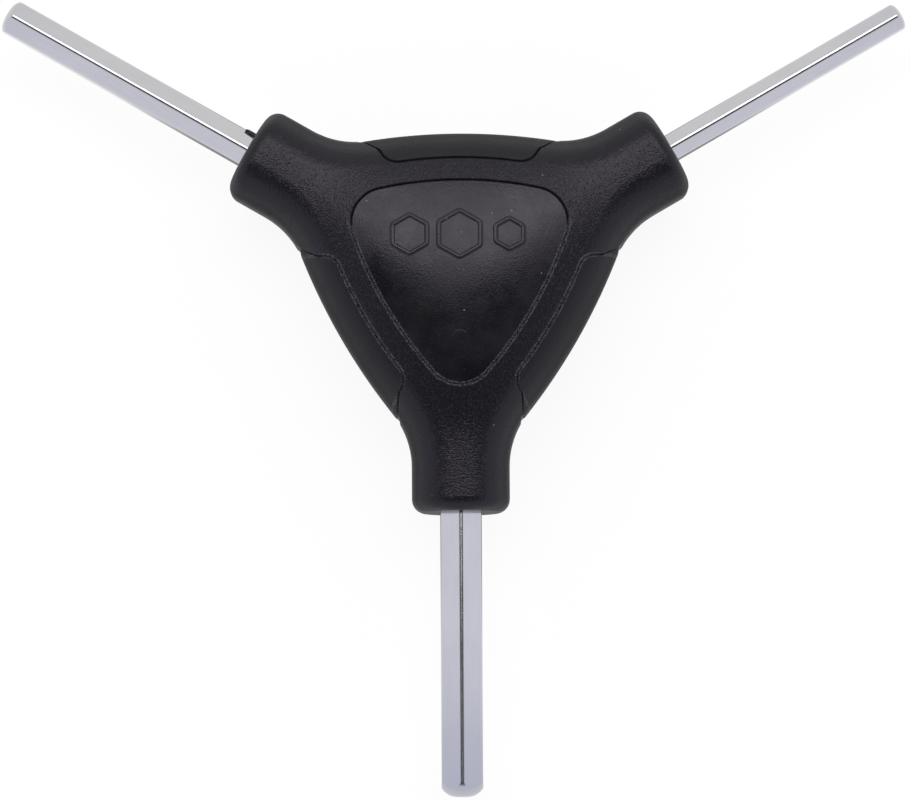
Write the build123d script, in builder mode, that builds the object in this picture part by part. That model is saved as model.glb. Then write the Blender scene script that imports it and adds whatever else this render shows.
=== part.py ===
from build123d import *
from math import cos, radians, sin
import os

os.makedirs("parts", exist_ok=True)

# driving sizes of the three keys, mm
large_flats = 6.0
medium_flats = 5.0
small_flats = 4.0
large_reach = 76.4
medium_reach = 76.0
small_reach = 74.6
tip_half_share = 0.57
large_tip_round_share = 0.45
side_tip_round_share = 0.3
key_edge_radius = 0.68

# the moulded-in ends of the keys
key_start = 7.0
anchor_start = 12.0
anchor_width = 2.4
anchor_pitch = 5.2
anchor_count = 2
anchor_flats_share = 0.84

# driving sizes of the moulded handle
side_distance = 18.75
neck_half = 7.1
neck_reach = 35.3
bend_radius = 13.0
edge_radius = 6.0
neck_end_radius = 2.0
lip_size = 0.22

# the crown, a dome with three soft ridges that run out into the necks
dome_height = 11.05
crown_radius = 47.0
skew_length = 96.0
neck_roof_radius = 24.0
crease_height = 1.2
crown_margin = 0.7
crown_grid_steps = 28
crown_tolerance = 0.001

# the smooth inlay on each face
inlay_side_distance = 12.27
inlay_bow_radius = 58.0
inlay_corner_radius = 5.1
inlay_thickness = 1.8

# the grip pads over the three long sides
pad_distance = 19.8
pad_bow_radius = 92.0
pad_thickness = 1.7
pad_line_distance = 15.63
pad_inner_length = 10.7
pad_turn_length = 11.7
pad_turn_distance = 17.2
pad_outer_length = 14.3
pad_corner_radius = 2.6
notch_radius = 0.9
notch_depth = 0.25

# room left around the inlays and pads
side_clearance = 0.04

arm_directions = (30, 150, 270)
side_directions = (90, 210, 330)


# height of the handle's face above its middle plane
def crown_height(x, y):
    skew = (y**3 - 3 * x**2 * y) / skew_length
    height = dome_height - (x**2 + y**2 + skew) / (2 * crown_radius)
    for direction in arm_directions:
        turn = radians(direction)
        along = x * cos(turn) + y * sin(turn)
        across = y * cos(turn) - x * sin(turn)
        roof = neck_half - (across**2 + min(along, 0) ** 2) / (2 * neck_roof_radius)
        step = roof - height
        height += (step + (step**2 + crease_height**2) ** 0.5) / 2
    return height


# working sizes, with the lowest point of the handle at zero
half_thickness = crown_height(0, 0)
middle = Plane.XY.offset(half_thickness)
blank_height = 2 * half_thickness
blank_reach = neck_reach + edge_radius
crown_grid_reach = blank_reach + crown_margin
touch_tolerance = crown_tolerance


def cap_above_crown(drop):
    spacing = crown_grid_reach / crown_grid_steps
    marks = [step * spacing for step in range(-crown_grid_steps, crown_grid_steps + 1)]
    level = half_thickness - drop
    grid = [[(x, y, level + crown_height(x, y)) for x in marks] for y in marks]
    crown = Face.make_surface_from_array_of_points(grid, tol=crown_tolerance)
    return extrude(crown, amount=blank_height, dir=(0, 0, 1))


def caps_outside_crown(drop):
    upper = cap_above_crown(drop)
    return [upper, mirror(upper, about=middle)]


outer_caps = caps_outside_crown(0)
bed_caps = caps_outside_crown(pad_thickness)
inlay_caps = caps_outside_crown(inlay_thickness)


def arm_place(direction):
    return Location(middle.origin, (0, 0, direction))


def side_place(direction):
    return Location((0, 0, 0), (0, 0, direction - side_directions[0]))


# edges of a part where the cutting tools left the outer surface
def rim_edges(part, outside, tools):
    tool_shells = [tool.shell() for tool in tools]
    outer_shell = outside.shell()

    def touches(shell, edge):
        return shell.distance_to(edge @ 0.5) < touch_tolerance

    near = part.edges().filter_by(is_inside_turn)
    on_tool = [edge for edge in near if any(touches(shell, edge) for shell in tool_shells)]
    return [edge for edge in on_tool if touches(outer_shell, edge)]


def is_inside_turn(edge):
    spot = edge @ 0.5
    return spot.X**2 + spot.Y**2 < pad_turn_length**2 + pad_turn_distance**2


def is_long_rim(edge):
    spot = edge @ 0.5
    flat_reach = (spot.X**2 + spot.Y**2) ** 0.5
    return abs(spot.Z - half_thickness) > neck_half / 2 and flat_reach < neck_reach + neck_half / 2


def is_neck_end(face):
    spot = face.center()
    return (spot.X**2 + spot.Y**2) ** 0.5 > neck_reach * 0.99


# one key along +X from the hub, a corner edge towards the viewer
def hex_key(flats, reach, tip_round_share):
    section = Plane(origin=(key_start, 0, 0), x_dir=(0, 0, 1), z_dir=(1, 0, 0))
    tip_round = flats * tip_round_share
    with BuildPart() as bar:
        with BuildSketch(section):
            RegularPolygon(radius=flats / 2, side_count=6, major_radius=False)
        extrude(amount=reach - key_start)
        fillet(bar.edges().filter_by(Axis.X), radius=key_edge_radius)
        with BuildSketch() as tip:
            Rectangle(reach, flats * tip_half_share, align=Align.MIN)
            fillet(tip.vertices().group_by(Axis.X)[-1].sort_by(Axis.Y)[-1], radius=tip_round)
        revolve(axis=Axis.X, mode=Mode.INTERSECT)
        for step in range(anchor_count):
            with BuildSketch(section.offset(anchor_start - key_start + step * anchor_pitch)):
                Circle(flats)
                RegularPolygon(radius=flats * anchor_flats_share / 2, side_count=6,
                               major_radius=False, mode=Mode.SUBTRACT)
            extrude(amount=anchor_width, mode=Mode.SUBTRACT)
    return bar.part


# a block along the side that faces +Y, crowned and rounded like the handle
def side_block(distance, bow_radius, caps, round_radius):
    with BuildPart() as block:
        with BuildSketch(middle):
            with Locations((0, distance)):
                Rectangle(2 * side_distance, side_distance, align=(Align.CENTER, Align.MAX))
            if bow_radius:
                with Locations((0, distance - bow_radius)):
                    Circle(bow_radius, mode=Mode.INTERSECT)
        extrude(amount=blank_height, both=True)
        add(caps, mode=Mode.SUBTRACT)
        front = block.edges().filter_by(lambda edge: (edge @ 0.5).Y > distance - notch_depth)
        fillet(front.filter_by(GeomType.BSPLINE), radius=round_radius)
    return block.part


# the ground plan of one pad, bounded by a bowed line and two slanted ends
def pad_column(clearance):
    lean = (pad_turn_length - pad_inner_length) / (pad_turn_distance - pad_line_distance)
    far_lean = (pad_outer_length - pad_turn_length) / (side_distance - pad_turn_distance)
    near = pad_line_distance - pad_corner_radius
    far = pad_distance + pad_thickness
    near_length = pad_inner_length - pad_corner_radius * lean
    far_length = pad_turn_length + (far - pad_turn_distance) * far_lean
    line_radius = inlay_bow_radius + pad_line_distance - inlay_side_distance
    with BuildPart() as column:
        with BuildSketch(middle) as plan:
            with BuildLine():
                Polyline((-near_length, near), (near_length, near),
                         (pad_turn_length, pad_turn_distance), (far_length, far),
                         (-far_length, far), (-pad_turn_length, pad_turn_distance), close=True)
            make_face()
            with Locations((0, pad_line_distance - line_radius)):
                Circle(line_radius, mode=Mode.SUBTRACT)
            fillet(plan.vertices().sort_by(Axis.Y)[:2], radius=pad_corner_radius)
            if clearance:
                offset(amount=-clearance, kind=Kind.INTERSECTION)
        extrude(amount=blank_height, both=True)
    return column.part


# the rounded triangle of the inlay, from the middle of the handle outwards
def inlay_column(clearance):
    with BuildPart() as column:
        with BuildSketch(middle) as plan:
            for direction in side_directions:
                first = direction == side_directions[0]
                with Locations(side_place(direction)):
                    with Locations((0, inlay_side_distance - inlay_bow_radius)):
                        Circle(inlay_bow_radius, mode=Mode.ADD if first else Mode.INTERSECT)
            fillet(plan.vertices(), radius=inlay_corner_radius)
            if clearance:
                offset(amount=-clearance)
        extrude(amount=blank_height)
    return column.part


with BuildPart() as large_key:
    add(hex_key(large_flats, large_reach, large_tip_round_share).moved(arm_place(270)))
with BuildPart() as medium_key:
    add(hex_key(medium_flats, medium_reach, side_tip_round_share).moved(arm_place(150)))
with BuildPart() as small_key:
    add(hex_key(small_flats, small_reach, side_tip_round_share).moved(arm_place(30)))

# the beds that the pads and inlays are moulded into
pad_bed = side_block(side_distance - pad_thickness, 0, bed_caps, edge_radius - pad_thickness)
pad_seat = pad_column(0) - pad_bed
front_recess = inlay_column(0) & inlay_caps[0]
back_recess = mirror(front_recess, about=middle)

# the notches at both ends of each pad
with BuildPart() as pad_notches:
    notch_place = side_distance + notch_radius - notch_depth
    with Locations((pad_outer_length, notch_place, half_thickness),
                   (-pad_outer_length, notch_place, half_thickness)):
        Cylinder(notch_radius, 2 * blank_height)

# the moulded body before its recesses are cut
with BuildPart() as body_blank:
    with BuildSketch(middle) as plan:
        RegularPolygon(radius=side_distance, side_count=3, major_radius=False, rotation=30)
        with PolarLocations(0, 3, start_angle=30):
            Rectangle(blank_reach, 2 * neck_half, align=(Align.MIN, Align.CENTER))
        fillet(plan.vertices().sort_by_distance((0, 0, 0))[:6], radius=bend_radius)
    extrude(amount=blank_height, both=True)
    add(outer_caps, mode=Mode.SUBTRACT)
    fillet(body_blank.edges().filter_by(is_long_rim), radius=edge_radius)
    for direction in arm_directions:
        with Locations(arm_place(direction) * Pos(neck_reach, 0, 0)):
            Box(blank_reach, blank_reach, 2 * blank_height,
                align=(Align.MIN, Align.CENTER, Align.CENTER), mode=Mode.SUBTRACT)
    neck_ends = body_blank.faces().filter_by(GeomType.PLANE).filter_by(is_neck_end)
    fillet(neck_ends.edges(), radius=neck_end_radius)

pad_seats = [pad_seat.moved(side_place(direction)) for direction in side_directions]
pad_columns = [pad_column(0).moved(side_place(direction)) for direction in side_directions]
inlay_columns = [inlay_column(0), mirror(inlay_column(0), about=middle)]

with BuildPart() as handle_core:
    add(body_blank.part)
    add(pad_seats + [front_recess, back_recess], mode=Mode.SUBTRACT)
    rims = rim_edges(handle_core.part, body_blank.part, pad_columns + inlay_columns)
    chamfer(rims, length=lip_size)
    add([large_key.part, medium_key.part, small_key.part], mode=Mode.SUBTRACT)
    add([pad_notches.part.moved(side_place(direction)) for direction in side_directions],
        mode=Mode.SUBTRACT)

with BuildPart() as front_inlay:
    add(inlay_column(side_clearance))
    add(inlay_caps[0], mode=Mode.INTERSECT)
    add(outer_caps[0], mode=Mode.SUBTRACT)
    chamfer(rim_edges(front_inlay.part, outer_caps[0], [inlay_column(side_clearance)]), length=lip_size)

with BuildPart() as back_inlay:
    add(mirror(front_inlay.part, about=middle))

with BuildPart() as top_grip:
    add(side_block(pad_distance, pad_bow_radius, outer_caps, edge_radius))
    pad_outside = top_grip.part
    add(pad_column(side_clearance), mode=Mode.INTERSECT)
    add(pad_bed, mode=Mode.SUBTRACT)
    chamfer(rim_edges(top_grip.part, pad_outside, [pad_column(side_clearance)]), length=lip_size)
    add(pad_notches.part, mode=Mode.SUBTRACT)

with BuildPart() as left_grip:
    add(top_grip.part.moved(side_place(210)))
with BuildPart() as right_grip:
    add(top_grip.part.moved(side_place(330)))

large_key.part.label = "hex_key_6mm"
medium_key.part.label = "hex_key_5mm"
small_key.part.label = "hex_key_4mm"
handle_core.part.label = "handle_core"
front_inlay.part.label = "front_inlay"
back_inlay.part.label = "back_inlay"
top_grip.part.label = "top_grip"
left_grip.part.label = "left_grip"
right_grip.part.label = "right_grip"

export_step(large_key.part, "parts/hex_key_6mm.step")
export_step(medium_key.part, "parts/hex_key_5mm.step")
export_step(small_key.part, "parts/hex_key_4mm.step")
export_step(handle_core.part, "parts/handle_core.step")
export_step(front_inlay.part, "parts/front_inlay.step")
export_step(back_inlay.part, "parts/back_inlay.step")
export_step(top_grip.part, "parts/top_grip.step")
export_step(left_grip.part, "parts/left_grip.step")
export_step(right_grip.part, "parts/right_grip.step")
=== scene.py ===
import bmesh
import bpy
from math import cos, pi, radians, sin
from mathutils import Matrix, Vector
from mathutils.bvhtree import BVHTree


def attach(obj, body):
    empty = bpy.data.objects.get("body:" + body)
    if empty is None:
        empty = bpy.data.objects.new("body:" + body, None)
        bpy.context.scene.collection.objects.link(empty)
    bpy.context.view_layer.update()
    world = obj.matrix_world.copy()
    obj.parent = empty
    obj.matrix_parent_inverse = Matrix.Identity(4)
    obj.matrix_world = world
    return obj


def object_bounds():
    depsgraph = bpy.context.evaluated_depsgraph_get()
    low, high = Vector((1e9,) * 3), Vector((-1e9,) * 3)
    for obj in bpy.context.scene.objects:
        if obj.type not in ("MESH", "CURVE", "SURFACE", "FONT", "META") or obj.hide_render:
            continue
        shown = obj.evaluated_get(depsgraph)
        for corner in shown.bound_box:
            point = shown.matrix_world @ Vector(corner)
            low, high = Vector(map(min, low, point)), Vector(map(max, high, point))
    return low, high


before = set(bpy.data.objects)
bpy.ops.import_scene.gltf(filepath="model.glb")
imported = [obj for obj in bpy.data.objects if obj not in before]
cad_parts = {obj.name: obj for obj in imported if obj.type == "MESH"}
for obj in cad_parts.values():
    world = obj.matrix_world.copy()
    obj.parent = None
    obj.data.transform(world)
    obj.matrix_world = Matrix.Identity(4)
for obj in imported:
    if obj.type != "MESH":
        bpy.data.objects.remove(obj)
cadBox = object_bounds()
middleLevel = (cadBox[0][2] + cadBox[1][2]) / 2
scene = bpy.context.scene
print("frame loaded:", ", ".join(sorted(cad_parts)))

# the camera looks down on the front face, leaning a few degrees towards the long key
cameraSet = {
    "target": (-0.00078, -0.01883, 0.0113),
    "distance": 0.80,
    "leanDegrees": 5.2,
    "rollDegrees": 0.305,
    "lens": 217.84,
    "nearEnd": 0.05,
    "farEnd": 20,
}


def makeCamera(setup):
    lean = radians(setup["leanDegrees"])
    back = Vector((0, -sin(lean), cos(lean)))
    data = bpy.data.cameras.new("photoCamera")
    data.lens = setup["lens"]
    data.clip_start, data.clip_end = setup["nearEnd"], setup["farEnd"]
    camera = bpy.data.objects.new("photoCamera", data)
    scene.collection.objects.link(camera)
    turn = back.to_track_quat("Z", "Y").to_matrix().to_4x4()
    roll = Matrix.Rotation(radians(-setup["rollDegrees"]), 4, "Z")
    place = Matrix.Translation(Vector(setup["target"]) + back * setup["distance"])
    camera.matrix_world = place @ turn @ roll
    scene.camera = camera


makeCamera(cameraSet)
scene.view_settings.view_transform = "Standard"
print("camera placed")


# small helpers for node trees: a value is either another node's socket or a constant
def plug(tree, socket, value):
    if isinstance(value, bpy.types.NodeSocket):
        tree.links.new(value, socket)
    elif value is not None:
        socket.default_value = value


def addNode(tree, kind, spot, inputs=None, **settings):
    node = tree.nodes.new(kind)
    node.location = spot
    for name, value in settings.items():
        setattr(node, name, value)
    for name, value in (inputs or {}).items():
        plug(tree, node.inputs[name], value)
    return node


def newGroup(name, inputs, outputs):
    group = bpy.data.node_groups.new(name, "ShaderNodeTree")
    for label, kind, value in inputs:
        socket = group.interface.new_socket(name=label, in_out="INPUT", socket_type="NodeSocket" + kind)
        if value is not None:
            socket.default_value = value
    for label in outputs:
        group.interface.new_socket(name=label, in_out="OUTPUT", socket_type="NodeSocketFloat")
    into = addNode(group, "NodeGroupInput", (-1700, 0))
    out = addNode(group, "NodeGroupOutput", (1100, 0))
    return group, into.outputs, out.inputs


def useGroup(tree, group, spot, inputs):
    return addNode(tree, "ShaderNodeGroup", spot, inputs, node_tree=group, label=group.name).outputs


def maths(tree, operation, spot, first, second=None, third=None, clamp=False):
    values = {0: first, 1: second, 2: third}
    return addNode(tree, "ShaderNodeMath", spot, values, operation=operation, use_clamp=clamp).outputs[0]


def vectors(tree, operation, spot, first, second=None, output="Vector"):
    values = {0: first, 1: second}
    return addNode(tree, "ShaderNodeVectorMath", spot, values, operation=operation).outputs[output]


def ramp(tree, spot, value, fromLow, fromHigh, toLow=0.0, toHigh=1.0):
    return addNode(tree, "ShaderNodeMapRange", spot, {
        "Value": value, "From Min": fromLow, "From Max": fromHigh, "To Min": toLow, "To Max": toHigh},
        interpolation_type="SMOOTHSTEP").outputs["Result"]


def noise(tree, spot, place, scale, detail, roughness=0.5, swirl=0.0):
    return addNode(tree, "ShaderNodeTexNoise", spot, {
        "Vector": place, "Scale": scale, "Detail": detail, "Roughness": roughness,
        "Distortion": swirl}).outputs["Fac"]


def cellsOf(tree, spot, place, scale):
    return addNode(tree, "ShaderNodeTexVoronoi", spot, {
        "Vector": place, "Scale": scale, "Randomness": 1.0}).outputs


def blend(tree, spot, mask, first, second):
    return addNode(tree, "ShaderNodeMix", spot, {"Factor": mask, 6: first, 7: second}, data_type="RGBA").outputs[2]


def choose(tree, spot, mask, first, second):
    return addNode(tree, "ShaderNodeMix", spot, {0: mask, 2: first, 3: second}, data_type="FLOAT").outputs[0]


# spark-eroded mould skin: fine pits and tilted facets, with patches that are a little smoother
grainSet = {
    "pitDetail": 2.0, "pitRoughness": 0.55, "cellShare": -0.5, "facetEdge": (0.30, 0.65),
    "patchDetail": 3.0, "patchRoughness": 0.6, "patchEdge": (0.35, 0.65),
}


def buildMouldGrain(setup):
    tree, given, result = newGroup(
        "mouldGrain",
        [("Vector", "Vector", None), ("Pit size", "Float", 0.00022), ("Patch size", "Float", 0.006)],
        ["Height", "Patch", "Facet"])
    pitScale = maths(tree, "DIVIDE", (-700, 200), 1.0, given["Pit size"])
    patchScale = maths(tree, "DIVIDE", (-700, -200), 1.0, given["Patch size"])
    pits = noise(tree, (-450, 300), given["Vector"], pitScale, setup["pitDetail"], setup["pitRoughness"])
    cells = cellsOf(tree, (-450, 0), given["Vector"], pitScale)
    patches = noise(
        tree, (-450, -300), given["Vector"], patchScale, setup["patchDetail"], setup["patchRoughness"])
    plug(tree, result["Height"], maths(
        tree, "MULTIPLY_ADD", (-150, 100), cells["Distance"], setup["cellShare"], pits))
    # every cell leans its own way, and the lean dies out before the next cell
    offset = vectors(tree, "SUBTRACT", (-150, 600), given["Vector"], cells["Position"])
    lean = vectors(tree, "SUBTRACT", (-150, 400), cells["Color"], (0.5, 0.5, 0.5))
    tilt = vectors(tree, "DOT_PRODUCT", (50, 500), offset, lean, "Value")
    hold = ramp(tree, (250, 300), cells["Distance"], *setup["facetEdge"], 1.0, 0.0)
    plug(tree, result["Facet"], maths(tree, "MULTIPLY", (500, 400), tilt, hold))
    plug(tree, result["Patch"], ramp(tree, (200, -200), patches, *setup["patchEdge"]))
    return tree


# pale dust specks, a few on each square centimetre
dustSet = {"wobbleScale": 9000.0, "wobbleDetail": 1.0, "sizeSpread": 1.6, "leastSize": 0.2}


def buildDustSpecks(setup):
    tree, given, result = newGroup(
        "dustSpecks",
        [("Vector", "Vector", None), ("Spacing", "Float", 0.004), ("Speck size", "Float", 0.00012),
         ("Share", "Float", 0.4)],
        ["Mask"])
    scale = maths(tree, "DIVIDE", (-700, 200), 1.0, given["Spacing"])
    cells = cellsOf(tree, (-450, 200), given["Vector"], scale)
    wobble = noise(tree, (-450, -200), given["Vector"], setup["wobbleScale"], setup["wobbleDetail"])
    size = maths(tree, "MULTIPLY", (-200, -100), given["Speck size"], scale)
    outer = maths(tree, "MULTIPLY", (0, -100), size, maths(
        tree, "MULTIPLY_ADD", (-200, -300), wobble, setup["sizeSpread"], setup["leastSize"]))
    speck = maths(tree, "LESS_THAN", (200, 200), cells["Distance"], outer)
    draw = addNode(tree, "ShaderNodeSeparateColor", (-200, 300), {"Color": cells["Color"]}).outputs["Red"]
    chosen = maths(tree, "LESS_THAN", (200, 400), draw, given["Share"])
    plug(tree, result["Mask"], maths(tree, "MULTIPLY", (450, 200), speck, chosen))
    return tree


# smudges and soft wipe marks left by hands
marksSet = {
    "smudgeDetail": 4.0, "smudgeRoughness": 0.62, "smudgeSwirl": 0.4, "smudgeEdge": (0.35, 0.7),
    "wipeDetail": 5.0, "wipeRoughness": 0.7, "wipeEdge": (0.4, 0.7),
}


def buildHandMarks(setup):
    tree, given, result = newGroup(
        "handMarks",
        [("Vector", "Vector", None), ("Smudge size", "Float", 0.012), ("Turn", "Float", 0.0),
         ("Stretch", "Float", 6.0)],
        ["Smudge", "Wipe"])
    scale = maths(tree, "DIVIDE", (-700, 200), 1.0, given["Smudge size"])
    turned = addNode(tree, "ShaderNodeVectorRotate", (-700, -200), {
        "Vector": given["Vector"], "Angle": given["Turn"]}, rotation_type="Z_AXIS").outputs["Vector"]
    narrow = addNode(tree, "ShaderNodeCombineXYZ", (-700, -450), {
        "X": 1.0, "Y": given["Stretch"], "Z": given["Stretch"]}).outputs["Vector"]
    stretched = vectors(tree, "MULTIPLY", (-450, -200), turned, narrow)
    cloud = noise(tree, (-200, 200), given["Vector"], scale,
                  setup["smudgeDetail"], setup["smudgeRoughness"], setup["smudgeSwirl"])
    wipes = noise(tree, (-200, -200), stretched, scale, setup["wipeDetail"], setup["wipeRoughness"])
    plug(tree, result["Smudge"], ramp(tree, (200, 200), cloud, *setup["smudgeEdge"]))
    plug(tree, result["Wipe"], ramp(tree, (200, -200), wipes, *setup["wipeEdge"]))
    return tree


# a fine raised line where the two halves of the mould met
splitSet = {"lineEdge": (0.4, 1.0)}


def buildSplitLine(setup):
    tree, given, result = newGroup(
        "splitLine",
        [("Vector", "Vector", None), ("Level", "Float", 0.0112), ("Line width", "Float", 0.00012)],
        ["Mask"])
    height = addNode(tree, "ShaderNodeSeparateXYZ", (-600, 0), {"Vector": given["Vector"]}).outputs["Z"]
    away = maths(tree, "ABSOLUTE", (-200, 0), maths(tree, "SUBTRACT", (-400, 0), height, given["Level"]))
    near = maths(tree, "DIVIDE", (0, 0), away, given["Line width"])
    plug(tree, result["Mask"], ramp(tree, (300, 0), near, *setup["lineEdge"], 1.0, 0.0))
    return tree


# painted highlight: pale lips along the lower sides of the inlay and of the two lower pads, where the groove lips
# catch the light
sideAngle = pi / 6
lipSet = {
    "endLean": 0.567, "bandEdge": (0.6, 1.0), "topFade": 0.004, "padFade": 0.0012,
    "lowEnd": (-0.0112, -0.0092), "lowEndShare": 0.1, "speckDetail": 1.0, "speckEdge": (0.40, 0.60),
    "betweenSpecks": 0.08,
}


def buildLipWear(setup):
    tree, given, result = newGroup(
        "paintedLipLight",
        [("Vector", "Vector", None), ("Bow reach", "Float", 0.04573), ("Inlay radius", "Float", 0.0580),
         ("Pad radius", "Float", 0.06136), ("Pad turn", "Vector", (0.00886, 0.01757, 0)),
         ("Pad turn radius", "Float", 0.0026), ("Pad fade", "Float", 0.0172),
         ("Corner reach", "Float", 0.012205), ("Corner radius", "Float", 0.0051),
         ("Corner level", "Float", -0.01559), ("Top level", "Float", 0.0085),
         ("Lip width", "Float", 0.00042), ("Seam width", "Float", 0.00026),
         ("Seam paleness", "Float", 0.8), ("Speck size", "Float", 0.00024)],
        ["Mask"])

    # how far a spot lies outside a circle
    def outside(place, spot, centre, radius):
        gap = vectors(tree, "DISTANCE", (-900, place), spot, centre, "Value")
        return maths(tree, "SUBTRACT", (-700, place), gap, radius)

    # a soft band on both sides of a line
    def band(place, off, width):
        share = maths(tree, "DIVIDE", (-350, place), maths(tree, "ABSOLUTE", (-500, place), off), width)
        return ramp(tree, (-150, place), share, *setup["bandEdge"], 1.0, 0.0)

    # the left and right halves mirror each other
    parts = addNode(tree, "ShaderNodeSeparateXYZ", (-1500, 0), {"Vector": given["Vector"]}).outputs
    sideX, y = maths(tree, "ABSOLUTE", (-1300, 200), parts["X"]), parts["Y"]
    spot = addNode(tree, "ShaderNodeCombineXYZ", (-1100, 200), {"X": sideX, "Y": y}).outputs["Vector"]
    bowCentre = addNode(tree, "ShaderNodeCombineXYZ", (-1100, 0), {
        "X": maths(tree, "MULTIPLY", (-1300, 0), given["Bow reach"], -cos(sideAngle)),
        "Y": maths(tree, "MULTIPLY", (-1300, -150), given["Bow reach"], sin(sideAngle))}).outputs["Vector"]
    cornerCentre = addNode(tree, "ShaderNodeCombineXYZ", (-1100, -300), {
        "Y": maths(tree, "MULTIPLY", (-1300, -300), given["Corner reach"], -1.0)}).outputs["Vector"]

    # the inlay: a long bowed side, and the round corner at its foot
    below = maths(tree, "LESS_THAN", (-700, -500), y, given["Corner level"])
    low = ramp(tree, (-500, -650), maths(tree, "SUBTRACT", (-700, -650), y, given["Top level"]),
               -setup["topFade"], 0.0, 1.0, 0.0)
    sideBand = band(300, outside(300, spot, bowCentre, given["Inlay radius"]), given["Lip width"])
    side = maths(tree, "MULTIPLY", (100, 300), sideBand, maths(
        tree, "SUBTRACT", (-300, -500), low, below, clamp=True))
    cornerBand = band(0, outside(0, spot, cornerCentre, given["Corner radius"]), given["Lip width"])
    corner = maths(tree, "MULTIPLY", (100, 0), cornerBand, below)

    # the pads, in the side's own lengths: along it from its middle, and out from the hub
    signed = maths(tree, "MULTIPLY_ADD", (-900, -850), sideX, sin(sideAngle), maths(
        tree, "MULTIPLY", (-1100, -850), y, cos(sideAngle)))
    along = maths(tree, "ABSOLUTE", (-700, -850), signed)
    out = maths(tree, "MULTIPLY_ADD", (-900, -1050), sideX, cos(sideAngle), maths(
        tree, "MULTIPLY", (-1100, -1050), y, -sin(sideAngle)))
    turn = addNode(tree, "ShaderNodeSeparateXYZ", (-900, -1250), {"Vector": given["Pad turn"]}).outputs
    sideSpot = addNode(tree, "ShaderNodeCombineXYZ", (-500, -850), {"X": along, "Y": out}).outputs["Vector"]
    past = maths(tree, "SUBTRACT", (-500, -1050), along, turn["X"])
    beyond = maths(tree, "SUBTRACT", (-500, -1250), out, turn["Y"])
    leanCos, leanSin = cos(setup["endLean"]), sin(setup["endLean"])
    slantReach = maths(tree, "MULTIPLY_ADD", (-300, -1050), past, leanCos, maths(
        tree, "MULTIPLY", (-500, -1450), beyond, -leanSin))
    slant = maths(tree, "SUBTRACT", (-100, -1050), slantReach, given["Pad turn radius"])
    slantRise = maths(tree, "MULTIPLY_ADD", (-300, -1450), past, leanSin, maths(
        tree, "MULTIPLY", (-500, -1650), beyond, leanCos))
    upper = maths(tree, "GREATER_THAN", (-100, -1450), slantRise, 0.0)
    bend = outside(-1650, sideSpot, given["Pad turn"], given["Pad turn radius"])
    ends = choose(tree, (100, -1100), upper, bend, slant)
    bow = outside(-300, spot, bowCentre, given["Pad radius"])
    run = choose(tree, (300, -1100), maths(tree, "GREATER_THAN", (100, -1300), past, 0.0), bow, ends)
    fade = ramp(tree, (300, -1300), maths(tree, "SUBTRACT", (100, -1500), out, given["Pad fade"]),
                -setup["padFade"], 0.0, 1.0, 0.0)
    fade = maths(tree, "MULTIPLY", (500, -1300), fade, ramp(
        tree, (300, -1500), signed, *setup["lowEnd"], setup["lowEndShare"], 1.0))
    lipHighlight = maths(tree, "MULTIPLY", (100, -300), band(-300, run, given["Lip width"]), fade)
    # past the lips the slanted ends are only a little paler, inside their seam: painted light that lifts the shade in
    # the seam
    plainEnd = maths(tree, "MULTIPLY", (700, -1300), maths(
        tree, "SUBTRACT", (600, -1300), 1.0, fade), given["Seam paleness"])
    seam = maths(tree, "MULTIPLY", (100, -500), band(-500, run, given["Seam width"]), plainEnd)
    pad = maths(tree, "MAXIMUM", (200, -300), lipHighlight, seam)

    lines = maths(tree, "MAXIMUM", (400, 0), maths(tree, "MAXIMUM", (300, 200), side, corner), pad)
    speckScale = maths(tree, "DIVIDE", (-350, -1000), 1.0, given["Speck size"])
    specks = noise(tree, (-150, -600), given["Vector"], speckScale, setup["speckDetail"])
    strength = ramp(tree, (300, -400), specks, *setup["speckEdge"], setup["betweenSpecks"], 1.0)
    plug(tree, result["Mask"], maths(tree, "MULTIPLY", (600, 0), lines, strength))
    return tree


mouldGrain = buildMouldGrain(grainSet)
dustSpecks = buildDustSpecks(dustSet)
handMarks = buildHandMarks(marksSet)
splitLine = buildSplitLine(splitSet)
paintedLipLight = buildLipWear(lipSet)
print("shader groups built")


def newMaterial(name):
    material = bpy.data.materials.new(name)
    material.use_nodes = True
    tree = material.node_tree
    tree.nodes.clear()
    out = addNode(tree, "ShaderNodeOutputMaterial", (1200, 0))
    shader = addNode(tree, "ShaderNodeBsdfPrincipled", (900, 0))
    plug(tree, out.inputs["Surface"], shader.outputs["BSDF"])
    place = addNode(tree, "ShaderNodeTexCoord", (-900, 0)).outputs["Object"]
    return material, tree, shader.inputs, place


def addRelief(tree, shader, height):
    relief = addNode(tree, "ShaderNodeBump", (600, -300), {"Height": height, "Strength": 1.0, "Distance": 1.0})
    plug(tree, shader["Normal"], relief.outputs["Normal"])
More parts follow.
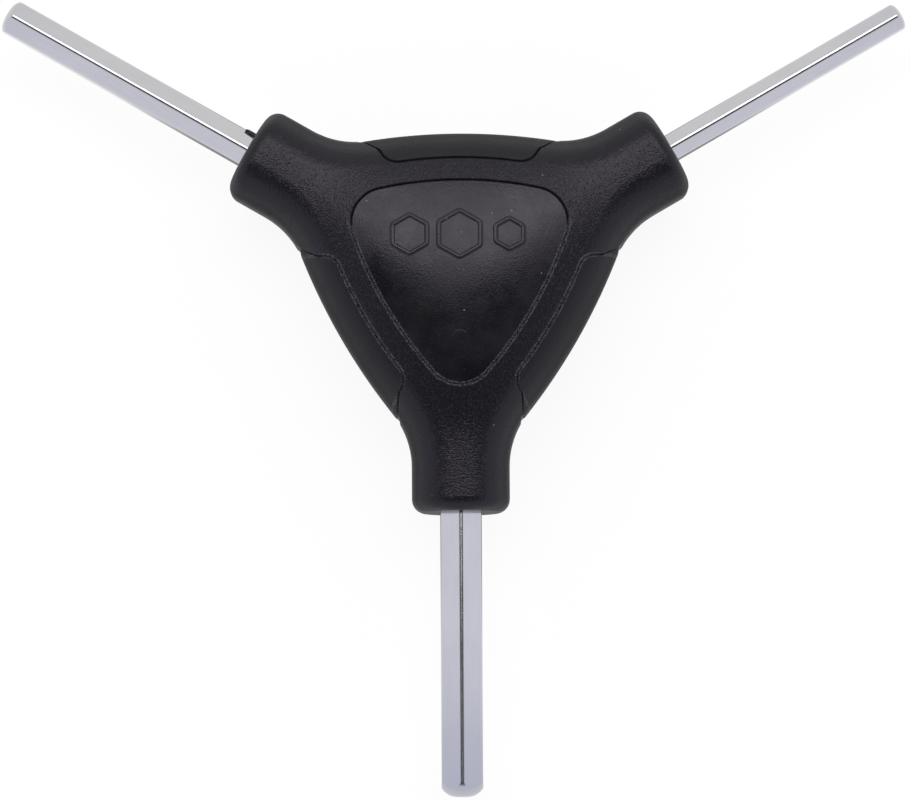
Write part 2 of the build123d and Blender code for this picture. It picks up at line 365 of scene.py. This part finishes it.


# what the three finishes of moulded black plastic share, with the colour of the painted lip highlight, and then each
# finish
plasticSet = {
    "lipHighlight": (0.090, 0.087, 0.097, 1), "lipHighlightShare": 0.85, "dust": (0.20, 0.20, 0.21, 1),
    "dustSpacing": 0.0023, "dustSize": 0.00011, "dustRoughness": 0.4, "dustHeight": 0.00002,
    "patchSize": 0.005, "smudgeSize": 0.014, "smudgeTurn": 0.5, "smudgeStretch": 5.0,
    "grainTone": 0.6, "smudgeTone": 0.4, "ior": 1.5, "specularTint": (0.99, 0.94, 1.0, 1),
}
coreFinish = {
    "name": "corePlastic", "deep": (0.0086, 0.0080, 0.0106, 1), "pale": (0.0128, 0.0119, 0.0154, 1),
    "dustShare": 0.30, "roughness": 0.21, "roughnessSpread": 0.04, "pitSize": 0.00028,
    "pitDepth": 0.000040, "facetSlope": 0.32, "specular": 0.265, "splitHeight": 0.00010,
}
inlayFinish = {
    "name": "inlayPlastic", "deep": (0.0020, 0.0018, 0.0027, 1), "pale": (0.0070, 0.0065, 0.0087, 1),
    "dustShare": 0.35, "roughness": 0.25, "roughnessSpread": 0.15, "pitSize": 0.00034,
    "pitDepth": 0.000013, "facetSlope": 0.08, "specular": 0.455, "splitHeight": 0.0,
}
gripFinish = {
    "name": "gripPlastic", "deep": (0.0056, 0.0052, 0.0068, 1), "pale": (0.0090, 0.0084, 0.0106, 1),
    "dustShare": 0.30, "roughness": 0.36, "roughnessSpread": 0.07, "pitSize": 0.00030,
    "pitDepth": 0.000040, "facetSlope": 0.15, "specular": 0.29, "splitHeight": 0.00010,
}


def makePlastic(shared, finish):
    material, tree, shader, place = newMaterial(finish["name"])
    grain = useGroup(tree, mouldGrain, (-600, 200), {
        "Vector": place, "Pit size": finish["pitSize"], "Patch size": shared["patchSize"]})
    dust = useGroup(tree, dustSpecks, (-600, -100), {
        "Vector": place, "Spacing": shared["dustSpacing"], "Speck size": shared["dustSize"],
        "Share": finish["dustShare"]})["Mask"]
    marks = useGroup(tree, handMarks, (-600, -400), {
        "Vector": place, "Smudge size": shared["smudgeSize"], "Turn": shared["smudgeTurn"],
        "Stretch": shared["smudgeStretch"]})
    lipHighlight = useGroup(tree, paintedLipLight, (-600, 800), {"Vector": place})["Mask"]

    tone = maths(tree, "MULTIPLY_ADD", (-350, 300), grain["Height"], shared["grainTone"], maths(
        tree, "MULTIPLY", (-350, 500), marks["Smudge"], shared["smudgeTone"]), clamp=True)
    colour = blend(tree, (-100, 300), tone, finish["deep"], finish["pale"])
    # painted highlight along the lower groove lips, laid over the plastic's own colour
    lipHighlightAmount = maths(tree, "MULTIPLY", (-100, 700), lipHighlight, shared["lipHighlightShare"])
    colour = blend(tree, (50, 500), lipHighlightAmount, colour, shared["lipHighlight"])
    colour = blend(tree, (200, 300), dust, colour, shared["dust"])
    plug(tree, shader["Base Color"], colour)

    spread = finish["roughnessSpread"]
    rough = maths(tree, "MULTIPLY_ADD", (-100, 0), marks["Smudge"], -spread, finish["roughness"] + spread / 2)
    rough = maths(tree, "MULTIPLY_ADD", (150, 0), grain["Patch"], spread / 2, rough)
    rough = maths(tree, "MULTIPLY_ADD", (400, 0), dust, shared["dustRoughness"], rough, clamp=True)
    plug(tree, shader["Roughness"], rough)

    height = maths(tree, "MULTIPLY", (0, -300), grain["Height"], finish["pitDepth"])
    height = maths(tree, "MULTIPLY_ADD", (100, -450), grain["Facet"], finish["facetSlope"], height)
    height = maths(tree, "MULTIPLY_ADD", (200, -300), dust, shared["dustHeight"], height)
    if finish["splitHeight"]:
        line = useGroup(tree, splitLine, (-600, -700), {"Vector": place, "Level": middleLevel})["Mask"]
        height = maths(tree, "MULTIPLY_ADD", (400, -300), line, finish["splitHeight"], height)
    addRelief(tree, shader, height)
    shader["Specular IOR Level"].default_value = finish["specular"]
    shader["IOR"].default_value = shared["ior"]
    shader["Specular Tint"].default_value = shared["specularTint"]
    return material


# chrome plate over drawn steel, one material for each key because the draw lines follow the key
# the tip colour is painted shade: each key turns darker and bluer towards its tip, the 6 mm key most, for the darker
# room it reflects there
keyFinish = {
    "bright": (0.600, 0.600, 0.608, 1), "dull": (0.545, 0.545, 0.560, 1), "paintedTipShade": (0.455, 0.465, 0.510, 1),
    "dust": (0.30, 0.30, 0.31, 1), "dustSpacing": 0.0060, "dustSize": 0.00007, "dustShare": 0.30,
    "dustRoughness": 0.5, "drawWidth": 0.006, "drawStretch": 22.0, "pitSize": 0.00035, "patchSize": 0.009,
    "wipeTone": 0.35, "smudgeTone": 0.35, "roughness": 0.13, "roughnessSpread": 0.04,
    "lineDepth": 0.0000004, "tipRoughness": 0.05,
}
# how strong the painted tip shade is on each key, and how far back from the tip it reaches
keySizes = {
    "hex_key_6mm": {"direction": 270, "reach": 0.0764, "tipShadeAmount": 0.9, "tipShadeLength": 0.024},
    "hex_key_5mm": {"direction": 150, "reach": 0.0760, "tipShadeAmount": 0.15, "tipShadeLength": 0.012},
    "hex_key_4mm": {"direction": 30, "reach": 0.0746, "tipShadeAmount": 0.15, "tipShadeLength": 0.012},
}


def makeKeyPlate(name, key, finish):
    turn, reach = radians(key["direction"]), key["reach"]
    material, tree, shader, place = newMaterial(name)
    lines = useGroup(tree, handMarks, (-600, 200), {
        "Vector": place, "Smudge size": finish["drawWidth"], "Turn": -turn, "Stretch": finish["drawStretch"]})
    dust = useGroup(tree, dustSpecks, (-600, -100), {
        "Vector": place, "Spacing": finish["dustSpacing"], "Speck size": finish["dustSize"],
        "Share": finish["dustShare"]})["Mask"]
    grain = useGroup(tree, mouldGrain, (-600, -400), {
        "Vector": place, "Pit size": finish["pitSize"], "Patch size": finish["patchSize"]})
    reachOut = vectors(tree, "DOT_PRODUCT", (-600, 500), place, (cos(turn), sin(turn), 0), "Value")
    # painted shade towards the tip, which also roughens the tip a little
    paintedTipShade = ramp(tree, (-350, 500), reachOut, reach - key["tipShadeLength"], reach, 0.0, key["tipShadeAmount"])

    tone = maths(tree, "MULTIPLY_ADD", (-100, 400), lines["Wipe"], finish["wipeTone"], maths(
        tree, "MULTIPLY", (-100, 600), lines["Smudge"], finish["smudgeTone"]), clamp=True)
    colour = blend(tree, (300, 400), tone, finish["bright"], finish["dull"])
    colour = blend(tree, (420, 600), paintedTipShade, colour, finish["paintedTipShade"])
    colour = blend(tree, (550, 400), dust, colour, finish["dust"])
    plug(tree, shader["Base Color"], colour)

    rough = maths(tree, "MULTIPLY_ADD", (0, 0), lines["Wipe"], finish["roughnessSpread"], finish["roughness"])
    rough = maths(tree, "MULTIPLY_ADD", (200, 0), paintedTipShade, finish["tipRoughness"], rough)
    rough = maths(tree, "MULTIPLY_ADD", (400, 0), dust, finish["dustRoughness"], rough, clamp=True)
    plug(tree, shader["Roughness"], rough)
    plug(tree, shader["Metallic"], maths(tree, "SUBTRACT", (550, 150), 1.0, dust, clamp=True))

    height = maths(tree, "MULTIPLY", (0, -300), lines["Wipe"], finish["lineDepth"])
    height = maths(tree, "MULTIPLY_ADD", (200, -300), grain["Height"], finish["lineDepth"], height)
    addRelief(tree, shader, height)
    return material


def dress(nodeName, material):
    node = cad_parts[nodeName]
    node.data.materials.clear()
    node.data.materials.append(material)


corePlastic = makePlastic(plasticSet, coreFinish)
inlayPlastic = makePlastic(plasticSet, inlayFinish)
gripPlastic = makePlastic(plasticSet, gripFinish)
dress("handle_core", corePlastic)
for name in ("front_inlay", "back_inlay"):
    dress(name, inlayPlastic)
for name in ("top_grip", "left_grip", "right_grip"):
    dress(name, gripPlastic)
for name, key in keySizes.items():
    dress(name, makeKeyPlate(name.replace("hex_key", "plate"), key, keyFinish))
print("CAD pieces dressed")


# small helpers for pieces that lie on a CAD node's skin
def surfaceOf(nodeName):
    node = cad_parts[nodeName]
    return BVHTree.FromPolygons([v.co for v in node.data.vertices], [p.vertices for p in node.data.polygons])


def heightAt(surface, x, y, dropFrom=0.1):
    return surface.ray_cast(Vector((x, y, dropFrom)), Vector((0, 0, -1)))[0].z


def bridge(mesh, first, second):
    for side in range(len(first)):
        after = (side + 1) % len(first)
        mesh.faces.new((first[side], second[side], second[after], first[after]))


def finishPiece(piece):
    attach(piece, "root")
    return piece


def pieceFromMesh(name, mesh, material, mostSmoothCorners):
    bmesh.ops.recalc_face_normals(mesh, faces=mesh.faces)
    data = bpy.data.meshes.new(name)
    mesh.to_mesh(data)
    mesh.free()
    for face in data.polygons:
        face.use_smooth = len(face.vertices) <= mostSmoothCorners
    data.materials.append(material)
    piece = bpy.data.objects.new(name, data)
    scene.collection.objects.link(piece)
    return finishPiece(piece)


# raised emblem: three plain hexagon outlines in a row, one for each key size
emblemSet = {
    "middle": (0.0, 0.0042), "pitch": 0.0072, "flats": (0.0050, 0.0060, 0.0040),
    "stroke": 0.00075, "raise": 0.00022, "corner": 0.0005, "cornerSteps": 4, "cuts": 7,
    "profileSides": 14, "dropFrom": 0.05,
}


def buildEmblemTree(setup):
    tree = bpy.data.node_groups.new("hexagonRow", "GeometryNodeTree")
    for label, kind, value in (
            ("Surface", "Object", None), ("Pitch", "Float", setup["pitch"]), ("Stroke", "Float", setup["stroke"]),
            ("Raise", "Float", setup["raise"]), ("Corner", "Float", setup["corner"]), ("Material", "Material", None)):
        socket = tree.interface.new_socket(name=label, in_out="INPUT", socket_type="NodeSocket" + kind)
        if value is not None:
            socket.default_value = value
    tree.interface.new_socket(name="Geometry", in_out="OUTPUT", socket_type="NodeSocketGeometry")
    given = addNode(tree, "NodeGroupInput", (-1400, 0)).outputs
    out = addNode(tree, "NodeGroupOutput", (1600, 0))

    # one point for each hexagon, and each hexagon at its own size
    count = len(setup["flats"])
    middleX, middleY = setup["middle"]
    step = addNode(tree, "ShaderNodeCombineXYZ", (-1200, 300), {"X": given["Pitch"]}).outputs["Vector"]
    firstX = maths(tree, "MULTIPLY_ADD", (-1200, 100), given["Pitch"], -(count - 1) / 2, middleX)
    start = addNode(tree, "ShaderNodeCombineXYZ", (-1000, 100), {"X": firstX, "Y": middleY}).outputs["Vector"]
    row = addNode(tree, "GeometryNodeMeshLine", (-800, 200), {
        "Count": count, "Start Location": start, "Offset": step}, mode="OFFSET")
    cornerPerFlats = 1 / 3 ** 0.5
    ring = addNode(tree, "GeometryNodeMeshCircle", (-1000, -200), {"Vertices": 6, "Radius": cornerPerFlats})
    outline = addNode(tree, "GeometryNodeMeshToCurve", (-800, -200), {"Mesh": ring.outputs["Mesh"]})
    order = addNode(tree, "GeometryNodeInputIndex", (-1000, -500)).outputs["Index"]
    sizes = addNode(tree, "GeometryNodeIndexSwitch", (-800, -500), data_type="FLOAT")
    while len(sizes.index_switch_items) < count:
        sizes.index_switch_items.new()
    plug(tree, sizes.inputs["Index"], order)
    for index, flats in enumerate(setup["flats"]):
        sizes.inputs[str(index)].default_value = flats
    placed = addNode(tree, "GeometryNodeInstanceOnPoints", (-600, 0), {
        "Points": row.outputs["Mesh"], "Instance": outline.outputs["Curve"], "Scale": sizes.outputs["Output"],
        "Rotation": (0, 0, pi / 6)})
    real = addNode(tree, "GeometryNodeRealizeInstances", (-400, 0), {"Geometry": placed.outputs["Instances"]})

    # a rounded bar along each outline
    rounded = addNode(tree, "GeometryNodeFilletCurve", (-200, 0), {
        "Curve": real.outputs["Geometry"], "Radius": given["Corner"], "Count": setup["cornerSteps"]}, mode="POLY")
    fine = addNode(tree, "GeometryNodeSubdivideCurve", (0, 0), {
        "Curve": rounded.outputs["Curve"], "Cuts": setup["cuts"]})
    half = maths(tree, "MULTIPLY", (-200, -300), given["Stroke"], 0.5)
    profile = addNode(tree, "GeometryNodeCurvePrimitiveCircle", (0, -300), {
        "Resolution": setup["profileSides"], "Radius": half})
    bar = addNode(tree, "GeometryNodeCurveToMesh", (200, 0), {
        "Curve": fine.outputs["Curve"], "Profile Curve": profile.outputs["Curve"], "Fill Caps": False})

    # the bar is flattened and laid on the inlay's skin
    spot = addNode(tree, "GeometryNodeInputPosition", (200, -400)).outputs["Position"]
    parts = addNode(tree, "ShaderNodeSeparateXYZ", (400, -400), {"Vector": spot}).outputs
    above = addNode(tree, "ShaderNodeCombineXYZ", (600, -500), {
        "X": parts["X"], "Y": parts["Y"], "Z": setup["dropFrom"]}).outputs["Vector"]
    skin = addNode(tree, "GeometryNodeObjectInfo", (400, -700), {"Object": given["Surface"]})
    hit = addNode(tree, "GeometryNodeRaycast", (800, -500), {
        "Target Geometry": skin.outputs["Geometry"], "Source Position": above,
        "Ray Direction": (0, 0, -1), "Ray Length": 1.0}).outputs["Hit Position"]
    landing = addNode(tree, "ShaderNodeSeparateXYZ", (1000, -500), {"Vector": hit}).outputs["Z"]
    share = maths(tree, "DIVIDE", (600, -200), parts["Z"], half)
    lift = maths(tree, "MULTIPLY_ADD", (1000, -200), share, given["Raise"], landing)
    newSpot = addNode(tree, "ShaderNodeCombineXYZ", (1200, -300), {
        "X": parts["X"], "Y": parts["Y"], "Z": lift}).outputs["Vector"]
    laid = addNode(tree, "GeometryNodeSetPosition", (1200, 0), {
        "Geometry": bar.outputs["Mesh"], "Position": newSpot})
    whole = addNode(tree, "GeometryNodeRealizeInstances", (1300, 200), {"Geometry": laid.outputs["Geometry"]})
    painted = addNode(tree, "GeometryNodeSetMaterial", (1450, 0), {
        "Geometry": whole.outputs["Geometry"], "Material": given["Material"]})
    plug(tree, out.inputs["Geometry"], painted.outputs["Geometry"])
    return tree


def makeEmblem(setup, surfaceNode, material):
    tree = buildEmblemTree(setup)
    holder = bpy.data.objects.new("emblemHolder", bpy.data.meshes.new("emblemHolder"))
    scene.collection.objects.link(holder)
    modifier = holder.modifiers.new("hexagonRow", "NODES")
    modifier.node_group = tree
    sockets = {item.name: item.identifier for item in tree.interface.items_tree if item.in_out == "INPUT"}
    modifier[sockets["Surface"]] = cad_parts[surfaceNode]
    modifier[sockets["Material"]] = material
    bpy.context.view_layer.update()
    graph = bpy.context.evaluated_depsgraph_get()
    mesh = bpy.data.meshes.new_from_object(holder.evaluated_get(graph), depsgraph=graph)
    bpy.data.objects.remove(holder)
    for face in mesh.polygons:
        face.use_smooth = True
    emblem = bpy.data.objects.new("emblem", mesh)
    scene.collection.objects.link(emblem)
    return finishPiece(emblem)


emblem = makeEmblem(emblemSet, "front_inlay", inlayPlastic)
print("emblem laid on the front inlay:", len(emblem.data.polygons), "faces")


# gate mark: a shallow disc where the plastic entered the mould, on both inlays
gateSet = {
    "middle": (0.0, -0.0109), "radius": 0.0015, "rise": 0.00004, "rings": 6, "sides": 48,
    "edgePower": 6, "sunkShare": 0.5, "skirt": 0.0001,
}


def makeGateMark(name, surface, setup, mirrorLevel=None):
    mesh = bmesh.new()
    centreX, centreY = setup["middle"]
    rings = []
    for ring in range(setup["rings"] + 1):
        share = ring / setup["rings"]
        lift = setup["rise"] * (1 - share ** setup["edgePower"]) - setup["rise"] * setup["sunkShare"]
        row = []
        for side in range(setup["sides"] if ring else 1):
            angle = 2 * pi * side / setup["sides"]
            x = centreX + setup["radius"] * share * cos(angle)
            y = centreY + setup["radius"] * share * sin(angle)
            z = heightAt(surface, x, y) + lift
            row.append(mesh.verts.new((x, y, z if mirrorLevel is None else 2 * mirrorLevel - z)))
        rings.append(row)
    for side in range(setup["sides"]):
        mesh.faces.new((rings[0][0], rings[1][side], rings[1][(side + 1) % setup["sides"]]))
    for inner, outer in zip(rings[1:], rings[2:]):
        bridge(mesh, inner, outer)
    # a skirt below the rim closes the disc inside the inlay
    down = Vector((0, 0, -setup["skirt"] if mirrorLevel is None else setup["skirt"]))
    under = [mesh.verts.new(v.co + down) for v in rings[-1]]
    bridge(mesh, rings[-1], under)
    mesh.faces.new(under)
    return pieceFromMesh(name, mesh, inlayPlastic, 4)


inlaySkin = surfaceOf("front_inlay")
makeGateMark("gateMarkFront", inlaySkin, gateSet)
makeGateMark("gateMarkBack", inlaySkin, gateSet, middleLevel)
print("gate marks made")


# a sliver of flash where the plastic crept out along the 5 mm key
flashSet = {
    "key": "hex_key_5mm", "reach": 0.0351, "offset": 0.00225, "length": 0.0021, "width": 0.00076,
    "thick": 0.00050, "steps": 8, "sides": 8, "curl": 0.00008, "taper": 0.45, "taperPower": 6,
    "middleShare": 0.45, "roundShare": 0.5,
}


def makeFlash(setup):
    turn = radians(keySizes[setup["key"]]["direction"])
    along = Vector((cos(turn), sin(turn), 0))
    across = Vector((sin(turn), -cos(turn), 0))
    keySkin = surfaceOf(setup["key"])
    base = along * setup["reach"] + across * setup["offset"]
    mesh = bmesh.new()
    rows = []
    for step in range(setup["steps"] + 1):
        share = step / setup["steps"]
        spot = base + along * (setup["length"] * share) + across * (setup["curl"] * share ** 2)
        half = setup["width"] / 2 * (1 - setup["taper"] * share ** setup["taperPower"])
        low = heightAt(keySkin, spot.x, spot.y)
        row = []
        for side in range(setup["sides"]):
            angle = 2 * pi * side / setup["sides"]
            point = spot + across * (half * cos(angle))
            rise = setup["thick"] * (setup["middleShare"] + setup["roundShare"] * sin(angle))
            row.append(mesh.verts.new((point.x, point.y, low + rise)))
        rows.append(row)
    for first, second in zip(rows, rows[1:]):
        bridge(mesh, first, second)
    mesh.faces.new(rows[0])
    mesh.faces.new(rows[-1])
    return pieceFromMesh("flashSliver", mesh, corePlastic, setup["sides"])


makeFlash(flashSet)
print("flash made")

# floor, world and softbox
floorSet = {
    "halfSize": 6.0, "drop": 0.00005, "albedo": 0.80, "glow": 0.90, "lit": 0.12,
    "shaded": 0.28, "shadeFrom": 0.042, "shadeTo": 0.060,
}
worldSet = {
    "near": (0.92, 0.92, 1.03, 1), "far": (0.93, 0.93, 0.945, 1), "high": (0.06, 0.06, 0.07, 1),
    "farFrom": 0.2, "farTo": 0.7, "paleBelow": 0.56, "dimAbove": 0.86,
}
softboxSet = {
    "name": "softbox", "radiance": 2.9, "distance": 0.9, "leanDegrees": 20.4,
    "width": 1.10, "depth": 0.572, "tint": (0.96, 0.95, 1.0),
}


def makeFloor(setup):
    size = setup["halfSize"]
    data = bpy.data.meshes.new("floor")
    data.from_pydata([(-size, -size, 0), (size, -size, 0), (size, size, 0), (-size, size, 0)], [], [(0, 1, 2, 3)])
    floor = bpy.data.objects.new("floor", data)
    floor.location.z = -setup["drop"]
    scene.collection.objects.link(floor)
    material = bpy.data.materials.new("paleFloor")
    material.use_nodes = True
    tree = material.node_tree
    tree.nodes.clear()
    out = addNode(tree, "ShaderNodeOutputMaterial", (600, 0))
    rays = addNode(tree, "ShaderNodeLightPath", (-400, 400)).outputs
    plain = addNode(tree, "ShaderNodeBsdfDiffuse", (0, 200), {"Color": (setup["albedo"],) * 3 + (1,)})
    lit = addNode(tree, "ShaderNodeBsdfDiffuse", (0, 0), {"Color": (setup["lit"],) * 3 + (1,)})
    # the floor close round the handle lies in its shade, so its mirror image is dimmer there
    place = addNode(tree, "ShaderNodeTexCoord", (-1000, -200)).outputs["Object"]
    reach = vectors(tree, "LENGTH", (-800, -200), place, output="Value")
    shade = ramp(tree, (-600, -200), reach, setup["shadeFrom"], setup["shadeTo"],
                 setup["glow"] * (setup["shaded"] - 1), 0.0)
    strength = maths(tree, "MULTIPLY_ADD", (-200, -200), rays["Is Glossy Ray"], shade, setup["glow"])
    glow = addNode(tree, "ShaderNodeEmission", (0, -200), {"Strength": strength})
    seen = addNode(tree, "ShaderNodeAddShader", (200, -100), {0: lit.outputs[0], 1: glow.outputs[0]})
    direct = maths(tree, "MAXIMUM", (-200, 400), rays["Is Camera Ray"], maths(
        tree, "MAXIMUM", (-200, 600), rays["Is Glossy Ray"], rays["Is Transmission Ray"]))
    mix = addNode(tree, "ShaderNodeMixShader", (400, 0), {0: direct, 1: plain.outputs[0], 2: seen.outputs[0]})
    plug(tree, out.inputs["Surface"], mix.outputs[0])
    data.materials.append(material)


def makeWorld(setup):
    world = bpy.data.worlds.new("studio")
    world.use_nodes = True
    scene.world = world
    tree = world.node_tree
    tree.nodes.clear()
    out = addNode(tree, "ShaderNodeOutputWorld", (600, 0))
    direction = addNode(tree, "ShaderNodeTexCoord", (-800, 0)).outputs["Generated"]
    parts = addNode(tree, "ShaderNodeSeparateXYZ", (-600, 0), {"Vector": direction}).outputs
    rise = ramp(tree, (-400, 0), parts["Z"], setup["paleBelow"], setup["dimAbove"])
    side = ramp(tree, (-400, -300), parts["Y"], setup["farFrom"], setup["farTo"])
    walls = blend(tree, (-150, -300), side, setup["near"], setup["far"])
    room = addNode(tree, "ShaderNodeBackground", (100, 100), {
        "Color": blend(tree, (-150, 0), rise, walls, setup["high"]), "Strength": 1.0})
    white = addNode(tree, "ShaderNodeBackground", (100, -100), {"Color": (1, 1, 1, 1), "Strength": 1.0})
    rays = addNode(tree, "ShaderNodeLightPath", (100, 400)).outputs
    mix = addNode(tree, "ShaderNodeMixShader", (350, 0), {
        0: rays["Is Camera Ray"], 1: room.outputs[0], 2: white.outputs[0]})
    plug(tree, out.inputs["Surface"], mix.outputs[0])


def makeSoftbox(setup):
    data = bpy.data.lights.new(setup["name"], "AREA")
    data.shape = "ELLIPSE"
    data.size, data.size_y = setup["width"], setup["depth"]
    area = setup["width"] * setup["depth"] * pi / 4
    data.energy = setup["radiance"] * pi * area
    data.color = setup["tint"]
    light = bpy.data.objects.new(setup["name"], data)
    lean = radians(setup["leanDegrees"])
    away = Vector((0, sin(lean), cos(lean)))
    light.location = away * setup["distance"]
    light.rotation_euler = away.to_track_quat("Z", "Y").to_euler()
    light.visible_camera = False
    scene.collection.objects.link(light)


makeFloor(floorSet)
makeWorld(worldSet)
makeSoftbox(softboxSet)
print("studio set")
